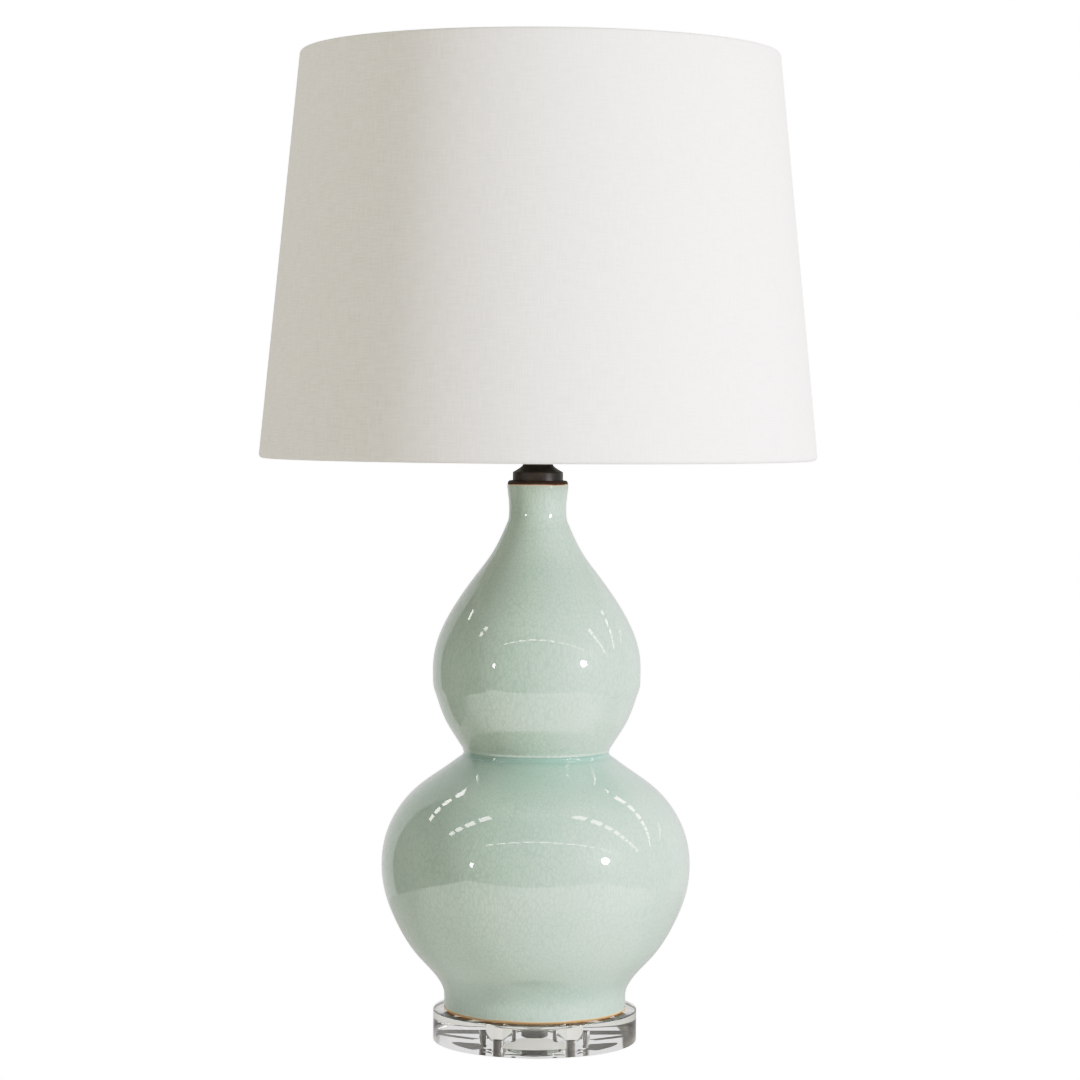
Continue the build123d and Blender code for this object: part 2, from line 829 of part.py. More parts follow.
with BuildPart() as shade_linen:
    with BuildSketch(Plane.XZ):
        with BuildLine():
            Line(on_wall(roll_r, 0), on_wall(slant - roll_r, 0))
            rolled_hem(slant, -1)
            Line(on_wall(slant - roll_r, linen), on_wall(roll_r, linen))
            rolled_hem(0, 1)
        make_face()
    revolve(axis=Axis.Z)
    for arm_plane in arm_planes:
        with BuildSketch(Plane(arm_plane.from_local_coords((ring_x, ring_z)), z_dir=-arm_plane.x_dir)):
            Circle(arm_r + bore_gap)
        extrude(amount=roll_r * 2, mode=Mode.SUBTRACT)
save(shade_linen, "shade_linen")

# ---------------------------------------------------------------- finial

finial_z = stud_seat + hub_thickness
finial_top = finial_z + finial_height
insert_r = stud_r + running_gap + insert_wall
with BuildPart() as finial_insert:
    with BuildSketch(Plane.XY.offset(finial_z)):
        Circle(insert_r)
        Circle(stud_r + running_gap, mode=Mode.SUBTRACT)
    extrude(amount=insert_depth)
save(finial_insert, "finial_insert")

with BuildPart() as finial_body:
    with BuildSketch(Plane.XZ):
        with BuildLine():
            insert_bore = insert_r + seat_gap
            foot_edge = (finial_foot_r, finial_z + finial_foot)
            stem = (insert_bore + finial_wall, finial_z + insert_depth)
            ball = (finial_ball_r, finial_top - finial_ball_r)
            Polyline(
                (0, finial_top),
                (0, finial_z + insert_depth),
                (insert_bore, finial_z + insert_depth),
                (insert_bore, finial_z),
                (finial_foot_r, finial_z),
                foot_edge,
            )
            Spline(foot_edge, stem, tangents=[(-1, 0.4), (0, 1)])
            Spline(stem, ball, tangents=[(0.6, 1), (0, 1)])
            ThreePointArc(
                ball,
                (ball[0] * cos(radians(45)), ball[1] + ball[0] * sin(radians(45))),
                (0, finial_top),
            )
        make_face()
    revolve(axis=Axis.Z)
save(finial_body, "finial_body")
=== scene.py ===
"""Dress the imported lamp: celadon glaze, linen, clear disc and metalwork, in a white studio.

Metres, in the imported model's own frame: +Z up, the lamp seen from -Y, its cord inlet at +Y.
"""

import json
from math import ceil, cos, exp, hypot, pi, radians, sin

import bmesh
import bpy
import numpy as np
from bpy.props import FloatProperty, FloatVectorProperty, IntProperty, PointerProperty
from mathutils import Matrix, Quaternion, Vector, noise

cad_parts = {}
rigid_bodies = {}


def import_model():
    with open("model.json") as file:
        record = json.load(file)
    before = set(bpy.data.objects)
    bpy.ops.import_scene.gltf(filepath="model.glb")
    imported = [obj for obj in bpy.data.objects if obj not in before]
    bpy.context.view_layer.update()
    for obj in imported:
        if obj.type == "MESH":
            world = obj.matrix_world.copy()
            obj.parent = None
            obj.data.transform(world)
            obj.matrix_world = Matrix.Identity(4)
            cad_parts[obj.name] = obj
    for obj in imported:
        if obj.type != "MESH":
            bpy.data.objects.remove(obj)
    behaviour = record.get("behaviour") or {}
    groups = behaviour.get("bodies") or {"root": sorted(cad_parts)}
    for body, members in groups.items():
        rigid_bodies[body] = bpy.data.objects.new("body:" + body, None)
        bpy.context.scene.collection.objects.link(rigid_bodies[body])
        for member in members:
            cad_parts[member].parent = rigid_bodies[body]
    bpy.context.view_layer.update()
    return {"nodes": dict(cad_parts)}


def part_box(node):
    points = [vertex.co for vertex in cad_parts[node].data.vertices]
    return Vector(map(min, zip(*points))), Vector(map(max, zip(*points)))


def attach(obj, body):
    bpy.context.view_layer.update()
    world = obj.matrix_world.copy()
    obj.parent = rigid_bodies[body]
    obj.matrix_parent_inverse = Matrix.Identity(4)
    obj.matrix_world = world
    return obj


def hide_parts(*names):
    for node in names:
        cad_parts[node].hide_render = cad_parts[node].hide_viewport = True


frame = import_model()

bl_info = {
    "name": "Gourd Lamp",
    "version": (1, 0, 0),
    "blender": (4, 5, 0),
    "location": "View3D > Sidebar > Lamp",
    "description": "Builds the visible pieces, finishes and studio of a ceramic gourd lamp",
    "category": "Object",
}

MM = 0.001

# ---------------------------------------------------------------- sizes shared with the solids

WALL = 6.5 * MM
FOOT_RING = 9.5 * MM
FOOT_RECESS = 11.0 * MM
FLOOR = 6.0 * MM
MOUTH_WALL = 5.0 * MM
PIPE_HOLE_R = 5.5 * MM
CORD_HOLE_R = 3.45 * MM
DISC_EDGE = 0.7 * MM
RECESS_R = 22.2 * MM
RECESS_DEPTH = 12.7 * MM
PLUG_GAP = 0.05 * MM
SHADE_TOP_R = 162.8 * MM
SHADE_HEIGHT = 275.2 * MM
LINEN = 0.7 * MM
ROLL_R = 2.65 * MM
LAP_DEPTH = 2.5 * MM
HEM_LAP = 12.0 * MM
HEM_FLAT = 3.0 * MM

OUTWARD = 0.04  # the least outward slope of a face on an outer wall


# ---------------------------------------------------------------- settings


def colour_setting(name, description, default):
    """A colour that the panel shows."""
    return FloatVectorProperty(
        name=name, description=description, subtype="COLOR", size=3, min=0, max=1, default=default)


def length_setting(name, description, default, least=0.0):
    """A length that the panel shows."""
    return FloatProperty(name=name, description=description, unit="LENGTH", min=least, default=default)


def steps_setting(piece, default):
    """The number of steps round a turned piece."""
    return IntProperty(name="Segments", description=f"Steps round the {piece}", min=32, default=default)


class LampVaseSettings(bpy.types.PropertyGroup):
    glaze: colour_setting("Glaze", "The glaze where it lies at its usual depth", (0.425, 0.532, 0.462))
    pooled: colour_setting(
        "Pooled glaze", "The glaze where it has run thick, under the waist and at the collar",
        (0.275, 0.425, 0.368))
    thin: colour_setting(
        "Thin glaze", "The glaze where it has run thin, at the crease, foot and lip", (0.500, 0.580, 0.500))
    line: colour_setting("Crackle line", "The fine cracks in the glaze", (0.270, 0.375, 0.315))
    clay: colour_setting("Clay", "The bare clay at the foot", (0.60, 0.37, 0.18))
    cell: length_setting("Crackle cell", "The usual width of a cell of the crackle", 2.5 * MM, 0.5 * MM)
    wobble: length_setting("Wobble", "How far the thrown wall wanders from a true round", 0.16 * MM)
    turns: steps_setting("vase", 288)


class LampShadeSettings(bpy.types.PropertyGroup):
    linen: colour_setting("Linen", "The outside of the linen", (0.784, 0.777, 0.76))
    thread: length_setting("Thread pitch", "The spacing of the threads", 0.68 * MM, 0.1 * MM)
    seam: length_setting("Seam width", "The overlap where the linen meets itself at the back", 11.0 * MM)
    turns: steps_setting("shade", 256)


class LampDiscSettings(bpy.types.PropertyGroup):
    clear: colour_setting("Acrylic", "The faint tint of the clear disc", (0.985, 0.995, 0.985))
    turns: steps_setting("disc", 256)


class LampMetalSettings(bpy.types.PropertyGroup):
    bronze: colour_setting(
        "Bronze", "The dark finish of the cap, harp, socket and finial", (0.026, 0.022, 0.019))
    rubbed: colour_setting("Rubbed bronze", "The same finish where it is worn", (0.060, 0.042, 0.030))
    steel: colour_setting("Zinc-plated steel", "The pipe and the washers", (0.56, 0.56, 0.54))
    brass: colour_setting(
        "Brass", "The contacts, terminals and the finial's insert", (0.60, 0.42, 0.17))


class LampStudioSettings(bpy.types.PropertyGroup):
    eye: FloatVectorProperty(
        name="Camera", description="Where the camera stands",
        subtype="TRANSLATION", unit="LENGTH", size=3, default=(0.0, -2.2237, 0.4389))
    pitch: FloatProperty(
        name="Pitch", description="How far the camera looks down",
        subtype="ANGLE", default=0.0425)
    roll: FloatProperty(
        name="Roll", description="How far the camera leans", subtype="ANGLE", default=0.006)
    lens: FloatProperty(
        name="Lens", description="Focal length in millimetres on a 36 mm sensor",
        min=10, default=108.6)
    key: FloatProperty(
        name="Key light", description="Power of the light at the front right, in watts",
        min=0, default=23.7)
    ceiling: FloatProperty(
        name="Ceiling lights", description="Brightness of the rows of lights overhead",
        min=0, default=11.0)
    room: FloatVectorProperty(
        name="Room", description="The warm light that fills the room",
        subtype="COLOR", size=3, min=0, max=4, default=(0.60, 0.575, 0.52))


# ---------------------------------------------------------------- making meshes


def arc(centre, radius, start, end, steps=6):
    """Points of an arc in a section, from one angle to another in degrees."""
    turns = [radians(start + (end - start) * step / steps) for step in range(steps + 1)]
    return [(centre[0] + radius * cos(turn), centre[1] + radius * sin(turn)) for turn in turns]


def even_steps(outline, step):
    """The same line with points a step apart, and with its own ends."""
    points = np.array(outline, float)
    along = np.concatenate([[0], np.cumsum(np.hypot(*np.diff(points, axis=0).T))])
    places = np.linspace(0, along[-1], max(2, ceil(along[-1] / step) + 1))
    return list(zip(np.interp(places, along, points[:, 0]), np.interp(places, along, points[:, 1])))


def outer_wall(node):
    """The outer wall of a turned solid, as (radius, height) pairs from its foot to its mouth."""
    mesh = frame["nodes"][node].data
    radius_at = {}
    for face in mesh.polygons:
        out = hypot(face.center.x, face.center.y)
        if out and (face.center.x * face.normal.x + face.center.y * face.normal.y) / out > OUTWARD:
            for index in face.vertices:
                x, y, z = mesh.vertices[index].co
                height = round(z, 5)
                radius_at[height] = max(radius_at.get(height, 0), hypot(x, y))
    return [(radius_at[height], height) for height in sorted(radius_at)]


def lathe(name, outline, turns, moved=None):
    """A closed outline of (radius, height) pairs turned about the axis.

    Its UV map is in metres: round the axis at the outline's usual radius, and along the outline.
    moved(radius, angle, height) may give a point a slightly different radius.
    """
    mesh = bpy.data.meshes.new(name)
    shape = bmesh.new()
    rings = []
    for radius, height in outline:
        ring = []
        for turn in range(turns):
            angle = 2 * pi * turn / turns
            out = moved(radius, angle, height) if moved else radius
            ring.append(shape.verts.new((out * cos(angle), out * sin(angle), height)))
        rings.append(ring)
    uv = shape.loops.layers.uv.new("UVMap")
    usual = max(radius for radius, height in outline)
    along = [0.0]
    for here, there in zip(outline, outline[1:] + outline[:1]):
        along.append(along[-1] + hypot(there[0] - here[0], there[1] - here[1]))
    for index in range(len(outline)):
        low, high = rings[index], rings[(index + 1) % len(outline)]
        for turn in range(turns):
            after = (turn + 1) % turns
            face = shape.faces.new((low[turn], low[after], high[after], high[turn]))
            places = [(turn, index), (turn + 1, index), (turn + 1, index + 1), (turn, index + 1)]
            for loop, (around, row) in zip(face.loops, places):
                loop[uv].uv = (2 * pi * usual * around / turns, along[row])
    bmesh.ops.recalc_face_normals(shape, faces=shape.faces)
    shape.to_mesh(mesh)
    shape.free()
    return mesh


def crisp(mesh, angle=32):
    """Shade a mesh smooth, apart from edges that turn by more than the angle."""
    mesh.shade_smooth()
    mesh.set_sharp_from_angle(angle=radians(angle))


def place(name, mesh, body, slot, material, *nodes):
    """Put a finished mesh in the scene, on its body and in place of its solids."""
    piece = bpy.data.objects.new(name, mesh)
    bpy.context.scene.collection.objects.link(piece)
    mesh.materials.append(material)
    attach(piece, body)
    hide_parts(*nodes)
    return piece


def cut(piece, cutters):
    """Cut round bars, each as (centre, radius, length, axis), out of a piece."""
    tools = []
    for centre, radius, length, axis in cutters:
        mesh = bpy.data.meshes.new("cutter")
        shape = bmesh.new()
        bmesh.ops.create_cone(
            shape, cap_ends=True, segments=48, radius1=radius, radius2=radius, depth=length)
        turn = Vector((0, 0, 1)).rotation_difference(Vector(axis)).to_matrix().to_4x4()
        bmesh.ops.transform(shape, matrix=Matrix.Translation(centre) @ turn, verts=shape.verts)
        shape.to_mesh(mesh)
        shape.free()
        tool = bpy.data.objects.new("cutter", mesh)
        bpy.context.scene.collection.objects.link(tool)
        tools.append(tool)
        difference = piece.modifiers.new("cut", "BOOLEAN")
        difference.operation = "DIFFERENCE"
        difference.solver = "EXACT"
        difference.object = tool
    bpy.context.view_layer.update()
    evaluated = piece.evaluated_get(bpy.context.evaluated_depsgraph_get())
    mesh = bpy.data.meshes.new_from_object(evaluated)
    piece.modifiers.clear()
    piece.data = mesh
    for tool in tools:
        bpy.data.objects.remove(tool)


# ---------------------------------------------------------------- making materials


def add(tree, kind, inputs=None, **settings):
    """Add a node, with its settings, and with values or links for its inputs."""
    node = tree.nodes.new(kind)
    for name, value in settings.items():
        setattr(node, name, value)
    for name, value in (inputs or {}).items():
        socket = node.inputs[name]
        if isinstance(value, bpy.types.NodeSocket):
            tree.links.new(value, socket)
        elif socket.type == "RGBA" and len(value) == 3:
            socket.default_value = (*value, 1)
        else:
            socket.default_value = value
    return node


def maths(tree, operation, first, second=None, third=None):
    """The result of a Math node."""
    values = {index: value for index, value in enumerate((first, second, third)) if value is not None}
    return add(tree, "ShaderNodeMath", values, operation=operation).outputs[0]


def times(tree, first, second):
    """Two values multiplied."""
    return maths(tree, "MULTIPLY", first, second)


def blended(tree, share, first, second):
    """A colour between two, by a share from 0 to 1."""
    node = add(tree, "ShaderNodeMix", data_type="RGBA")
    for socket, value in ((node.inputs[0], share), (node.inputs[6], first), (node.inputs[7], second)):
        if isinstance(value, bpy.types.NodeSocket):
            tree.links.new(value, socket)
        else:
            socket.default_value = (*value, 1) if hasattr(value, "__len__") else value
    return node.outputs[2]


def ramp(tree, share, stops, ease="LINEAR"):
    """A Color Ramp with its stops, each as (place, value or colour)."""
    node = add(tree, "ShaderNodeValToRGB", {"Fac": share})
    node.color_ramp.interpolation = ease
    elements = node.color_ramp.elements
    while len(elements) < len(stops):
        elements.new(1.0)
    for element, (spot, value) in zip(elements, sorted(stops, key=lambda stop: stop[0])):
        element.position = spot
        element.color = (*value, 1) if hasattr(value, "__len__") else (value, value, value, 1)
    return node.outputs["Color"]


def ranged(tree, value, low, high, to_low=0.0, to_high=1.0, kind="LINEAR"):
    """A value moved from one range to another, and held inside it."""
    inputs = {"Value": value, "From Min": low, "From Max": high, "To Min": to_low, "To Max": to_high}
    return add(tree, "ShaderNodeMapRange", inputs, interpolation_type=kind, clamp=True).outputs["Result"]


def in_piece(tree):
    """The place of a point in the coordinates of its own piece, in metres."""
    return add(tree, "ShaderNodeTexCoord").outputs["Object"]


def stretched(tree, vector, scale):
    """Coordinates stretched along each axis."""
    return add(tree, "ShaderNodeMapping", {"Vector": vector, "Scale": scale}).outputs["Vector"]


def noisy(tree, vector, scale, detail=2.0, roughness=0.5):
    """A noise value, about 0.5."""
    inputs = {"Vector": vector, "Scale": scale, "Detail": detail, "Roughness": roughness}
    return add(tree, "ShaderNodeTexNoise", inputs).outputs["Fac"]


def swayed(tree, value, sway, reach):
    """A value moved up and down by a noise value, in all by the reach."""
    return maths(tree, "MULTIPLY_ADD", maths(tree, "SUBTRACT", sway, 0.5), reach, value)


def glow(tree, colour, strength, kind="ShaderNodeEmission"):
    """Light of one colour, given off by a surface or by the room."""
    return add(tree, kind, {"Color": colour, "Strength": strength}).outputs[0]


def either(tree, share, first, second):
    """Two finishes mixed: the first at a share of 0, the second at 1."""
    return add(tree, "ShaderNodeMixShader", {0: share, 1: first, 2: second}).outputs[0]


def group(name, inputs, outputs):
    """A new shader node group, with its input node and output node."""
    tree = bpy.data.node_groups.new(name, "ShaderNodeTree")
    kinds = {"value": "NodeSocketFloat", "colour": "NodeSocketColor", "vector": "NodeSocketVector"}
    for label, kind, default in inputs:
        socket = tree.interface.new_socket(label, in_out="INPUT", socket_type=kinds[kind])
        if default is not None:
            socket.default_value = default
    for label, kind in outputs:
        tree.interface.new_socket(label, in_out="OUTPUT", socket_type=kinds[kind])
    return tree, tree.nodes.new("NodeGroupInput").outputs, tree.nodes.new("NodeGroupOutput").inputs


def use(tree, name, inputs):
    """Place a node group in a material, with its own values."""
    return add(tree, "ShaderNodeGroup", inputs, node_tree=bpy.data.node_groups[name]).outputs


def finish_of(name, roughness=0.5, metallic=0.0, **fixed):
    """A new material: its node tree and its Principled BSDF, with the fixed values set."""
    material = bpy.data.materials.new(name)
    material.use_nodes = True
    tree = material.node_tree
    shader = tree.nodes["Principled BSDF"]
    shader.inputs["Roughness"].default_value = roughness
    shader.inputs["Metallic"].default_value = metallic
    for label, value in fixed.items():
        shader.inputs[label.replace("_", " ").title().replace("Ior", "IOR")].default_value = value
    return material, tree, shader


def bumped(tree, shader, height, depth):
    """Raise the surface by a height from 0 to 1, times a depth in metres."""
    inputs = {"Height": height, "Distance": depth, "Strength": 1.0}
    tree.links.new(add(tree, "ShaderNodeBump", inputs).outputs["Normal"], shader.inputs["Normal"])


def handled_finish(name, nodes, colour, worn, patch, grain, wear, gloss, dull, depth,
                   metallic=0.0, rings=0.0, **fixed):
    """Give solids a finish with uneven colour and gloss, fine grain and, where turned, lathe rings."""
    material, tree, shader = finish_of(name, gloss, metallic, **fixed)
    handled = use(tree, "Handled Finish", {
        "Colour": colour, "Worn Colour": worn, "Patch Scale": patch, "Grain Scale": grain,
        "Wear": wear, "Gloss": gloss, "Dullness": dull})
    tree.links.new(handled["Colour"], shader.inputs["Base Color"])
    tree.links.new(handled["Roughness"], shader.inputs["Roughness"])
    height = handled["Height"]
    if rings:
        turned = use(tree, "Turned Rings", {"Spacing": rings})
        height = maths(tree, "MULTIPLY_ADD", height, 0.3, turned["Height"])
    bumped(tree, shader, height, depth)
    for node in nodes:
        mesh = frame["nodes"][node].data
        mesh.materials.clear()
        mesh.materials.append(material)


def handled_group():
    """Uneven colour, gloss and grain of a finish that has been handled, on any piece."""
    tree, given, made = group(
        "Handled Finish",
        [("Colour", "colour", (0.5, 0.5, 0.5, 1)), ("Worn Colour", "colour", (0.6, 0.6, 0.6, 1)),
         ("Patch Scale", "value", 40.0), ("Grain Scale", "value", 900.0),
         ("Wear", "value", 0.3), ("Gloss", "value", 0.3), ("Dullness", "value", 0.5)],
        [("Colour", "colour"), ("Roughness", "value"), ("Height", "value")])
    place_at = in_piece(tree)
    patches = noisy(tree, place_at, given["Patch Scale"], 4.0, 0.6)
    grain = noisy(tree, place_at, given["Grain Scale"], 3.0, 0.55)
    both = maths(tree, "MULTIPLY_ADD", grain, 0.35, times(tree, patches, 0.65))
    worn = times(tree, ranged(tree, both, 0.42, 0.66, kind="SMOOTHSTEP"), given["Wear"])
    tree.links.new(blended(tree, worn, given["Colour"], given["Worn Colour"]), made["Colour"])
    tree.links.new(ranged(tree, both, 0.3, 0.7, given["Gloss"], given["Dullness"]), made["Roughness"])
    tree.links.new(grain, made["Height"])


def turned_group():
    """The fine rings that a lathe leaves round the lamp's axis."""
    tree, given, made = group("Turned Rings", [("Spacing", "value", 0.0004)], [("Height", "value")])
    x, y, z = add(tree, "ShaderNodeSeparateXYZ", {0: in_piece(tree)}).outputs
    flat = add(tree, "ShaderNodeCombineXYZ", {0: x, 1: y}).outputs[0]
    out = add(tree, "ShaderNodeVectorMath", {0: flat}, operation="LENGTH").outputs["Value"]
    both = maths(tree, "DIVIDE", maths(tree, "ADD", out, z), given["Spacing"])
    line = add(tree, "ShaderNodeCombineXYZ", {0: both}).outputs[0]
    tree.links.new(noisy(tree, line, 1.0), made["Height"])


def weave_group():
    """Plain weave with slubs, on a UV map in metres: its colour and its height."""
    tree, given, made = group(
        "Plain Weave",
        [("Pitch", "value", 0.0008), ("Slub", "value", 0.5),
         ("Thread", "colour", (0.8, 0.8, 0.8, 1)), ("Gap", "colour", (0.6, 0.6, 0.6, 1))],
        [("Colour", "colour"), ("Height", "value")])
    cloth = add(tree, "ShaderNodeUVMap").outputs["UV"]
    rate = maths(tree, "DIVIDE", 1.0, given["Pitch"])
    heights = []
    slubs = []
    for stretch in ((1.0, 0.045, 1.0), (0.040, 1.0, 1.0)):
        run = stretched(tree, cloth, stretch)
        slubs.append(noisy(tree, run, times(tree, rate, 0.55), 2.0, 0.65))
        thread = noisy(tree, run, times(tree, rate, 1.35), 1.0)
        heights.append(ranged(tree, thread, 0.34, 0.66))
    crossings = [maths(tree, "SINE", times(tree, times(tree, side, rate), pi))
                 for side in add(tree, "ShaderNodeSeparateXYZ", {0: cloth}).outputs[:2]]
    knots = ranged(tree, times(tree, *crossings), -1.0, 1.0, 0.25)
    threads = times(tree, maths(tree, "ADD", *heights), 0.5)
    height = maths(tree, "MULTIPLY_ADD", knots, 0.35, times(tree, threads, 0.65))
    uneven = times(tree, maths(tree, "ADD", *slubs), 0.5)
    lifted = swayed(tree, height, uneven, given["Slub"])
    tree.links.new(lifted, made["Height"])
    share = ranged(tree, lifted, 0.2, 0.8)
    tree.links.new(blended(tree, share, given["Gap"], given["Thread"]), made["Colour"])


def crackle_group():
    """Fine cracks in a glaze: a mask of the lines, in cells that are taller than wide."""
    tree, given, made = group(
        "Crackle",
        [("Cell", "value", 0.004), ("Line", "value", 0.05), ("Wander", "value", 0.4)],
        [("Lines", "value")])
    place_at = in_piece(tree)
    rate = maths(tree, "DIVIDE", 1.0, given["Cell"])
    cells = stretched(tree, place_at, (1.0, 1.0, 0.36))
    bend = {"Vector": place_at, "Scale": times(tree, rate, 0.13), "Detail": 2.0}
    bent = add(tree, "ShaderNodeTexNoise", bend).outputs["Color"]
    middle = {0: bent, 1: (0.5, 0.5, 0.5)}
    centred = add(tree, "ShaderNodeVectorMath", middle, operation="SUBTRACT").outputs[0]
    shift = times(tree, given["Cell"], given["Wander"])
    moved = add(tree, "ShaderNodeVectorMath", {0: centred, "Scale": shift}, operation="SCALE").outputs[0]
    warped = add(tree, "ShaderNodeVectorMath", {0: cells, 1: moved}, operation="ADD").outputs[0]

    def cracks(scale):
        """A line along every edge between the cells of a scale."""
        inputs = {"Vector": warped, "Scale": scale}
        edges = add(tree, "ShaderNodeTexVoronoi", inputs, feature="DISTANCE_TO_EDGE").outputs["Distance"]
        return maths(tree, "SUBTRACT", 1.0, ranged(tree, edges, 0.0, given["Line"], kind="SMOOTHSTEP"))

    patchy = ranged(tree, noisy(tree, place_at, 30.0, 3.0), 0.35, 0.65)
    fine = times(tree, cracks(times(tree, rate, 1.9)), patchy)
    lines = maths(tree, "MAXIMUM", cracks(rate), times(tree, fine, 0.6))
    tree.links.new(lines, made["Lines"])


# ---------------------------------------------------------------- vase


class LAMP_OT_vase(bpy.types.Operator):
    """Turn the gourd vase and glaze it"""

    bl_idname = "lamp.vase"
    bl_label = "Gourd Vase"

    # how near its middle the waist is sought, the stretches of the wall with fine steps, and the
    # steps in each stretch from the foot up
    near_middle = 30.0 * MM
    foot_height = 6.0 * MM
    crease_reach = 6.0 * MM
    lip_height = 7.0 * MM
    steps = (0.5 * MM, 1.6 * MM, 0.4 * MM, 1.6 * MM, 0.35 * MM)

    # the foot, the inside, the ends that stay round, and how far a cutter stands out
    foot_bevel = 1.0 * MM
    mouth_depth = 34.0 * MM
    inside_top = 40.0 * MM
    inside_every = 6
    true_ends = 12.0 * MM
    cutter_margin = 2.0 * MM

    def execute(self, context):
        settings = context.scene.lamp_vase
        foot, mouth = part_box("vase_body")[0].z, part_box("vase_body")[1].z
        middle = (foot + mouth) / 2
        profile = outer_wall("vase_body")
        waist = min(spot for spot in profile if abs(spot[1] - middle) < self.near_middle)[1]
        wall = self.wall(profile, foot, waist, mouth)
        foot_inner = wall[0][0] - FOOT_RING
        ceiling = foot + FOOT_RECESS
        floor = ceiling + FLOOR
        mouth_r = min(radius for radius, height in wall if height > middle) - MOUTH_WALL
        inside = [(radius - WALL, height) for radius, height in wall
                  if floor < height < mouth - self.inside_top]
        outline = [(wall[0][0] - self.foot_bevel, foot), *wall]
        outline += [(mouth_r, mouth), (mouth_r, mouth - self.mouth_depth)]
        outline += inside[::-self.inside_every]
        outline += [(PIPE_HOLE_R, floor), (PIPE_HOLE_R, ceiling), (foot_inner, ceiling), (foot_inner, foot)]

        def thrown(radius, angle, height):
            """The wall of a pot thrown by hand: not quite round, with faint rings, but true at its ends."""
            if radius <= foot_inner or height >= mouth:
                return radius
            around = Vector((cos(angle) * 1.3, sin(angle) * 1.3, height * 14))
            drift = noise.noise(around) + 0.4 * noise.noise(around * 3.1)
            rings = noise.noise(Vector((height * 190, cos(angle) * 0.4, sin(angle) * 0.4)))
            hold = min(1.0, (height - foot) / self.true_ends, (mouth - height) / self.true_ends)
            return radius + (drift + rings * 0.12) * settings.wobble * hold

        mesh = lathe("vase_glazed", outline, settings.turns, thrown)
        finish = self.glaze(settings, foot, mouth, waist)
        piece = place("vase_glazed", mesh, "lamp_base", "glaze", finish, "vase_body")
        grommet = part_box("cord_grommet")
        inlet = (grommet[0] + grommet[1]) / 2
        length = grommet[1].y - grommet[0].y + 2 * self.cutter_margin
        cut(piece, [((0, inlet.y, inlet.z), CORD_HOLE_R, length, (0, 1, 0))])
        crisp(piece.data, 40)
        return {"FINISHED"}

    def wall(self, profile, foot, waist, mouth):
        """The outer wall in fine steps, with its crease at the waist and its roll under the lip."""
        ends = (foot, foot + self.foot_height, waist - self.crease_reach, waist + self.crease_reach,
                mouth - self.lip_height, mouth)
        wall = []
        for low, high, step in zip(ends, ends[1:], self.steps):
            stretch = [spot for spot in profile if low <= spot[1] <= high]
            wall += even_steps([*wall[-1:], *stretch], step)[min(1, len(wall)):]
        return [(radius + self.crease(height - waist) + self.lip_roll(mouth - height), height)
                for radius, height in wall]

    @staticmethod
    def swell(off, rise, width):
        """How far a soft ridge stands out, at a distance off its middle."""
        return rise * exp(-(off / width) ** 2)

    def crease(self, above):
        """The rolled edge and the groove below it, where the upper bulb meets the lower one."""
        edge = self.swell(above - 1.0 * MM, 0.20 * MM, 0.65 * MM)
        groove = self.swell(above + 0.6 * MM, 0.35 * MM, 0.6 * MM)
        return edge - groove

    def lip_roll(self, below):
        """The soft roll of glaze just under the bare lip."""
        return self.swell(below - 4.1 * MM, 0.24 * MM, 1.6 * MM)

    @staticmethod
    def depth(tree, height, foot, mouth, waist):
        """How deep the glaze lies, by height: thin on the crease and the lip, pooled under the waist."""
        crease = (waist - foot) / MM
        stations = {
            0.0: 0.53, 10.0: 0.53, 19.0: 0.58, 23.0: 0.63, 30.0: 0.48, 90.0: 0.42, 125.0: 0.49,
            150.0: 0.57, 165.0: 0.66, crease - 5.0: 0.72, crease - 1.5: 1.1, crease + 0.1: 1.1,
            crease + 0.9: 0.34, 190.0: 0.30, 215.0: 0.42, 330.0: 0.42, 357.0: 0.30}
        stops = [(up * MM / (mouth - foot), value) for up, value in stations.items()]
        return ramp(tree, ranged(tree, height, foot, mouth), stops)

    def glaze(self, settings, foot, mouth, waist):
        """Celadon: pale green glass over clay, with fine crackle, pooled where it ran."""
        material, tree, shader = finish_of(
            "celadon_glaze", 0.42, specular_ior_level=0.12,
            coat_weight=1.0, coat_roughness=0.035, coat_ior=1.5)
        place_at = in_piece(tree)
        height = add(tree, "ShaderNodeSeparateXYZ", {0: place_at}).outputs[2]
        run = noisy(tree, stretched(tree, place_at, (1.0, 1.0, 0.5)), 60.0, 3.0)
        depth = self.depth(tree, swayed(tree, height, run, 0.9 * MM), foot, mouth, waist)
        thick = swayed(tree, depth, noisy(tree, place_at, 22.0, 4.0, 0.55), 0.35)
        body = blended(tree, ranged(tree, thick, 0.1, 0.5), settings.thin, settings.glaze)
        body = blended(tree, ranged(tree, thick, 0.5, 1.0), body, settings.pooled)
        crackle = use(tree, "Crackle", {"Cell": settings.cell, "Line": 0.16, "Wander": 4.0})
        body = blended(tree, times(tree, crackle["Lines"], 0.38), body, settings.line)
        edge = swayed(tree, height, run, 1.6 * MM)

        def above_foot(bare, glazed):
            """A share that falls from bare clay to glaze, between two heights above the foot."""
            return ranged(tree, edge, foot + glazed * MM, foot + bare * MM)

        def below_mouth(glazed, bare):
            """A share that rises from glaze to bare clay, between two depths below the mouth."""
            return ranged(tree, edge, mouth - glazed * MM, mouth - bare * MM)

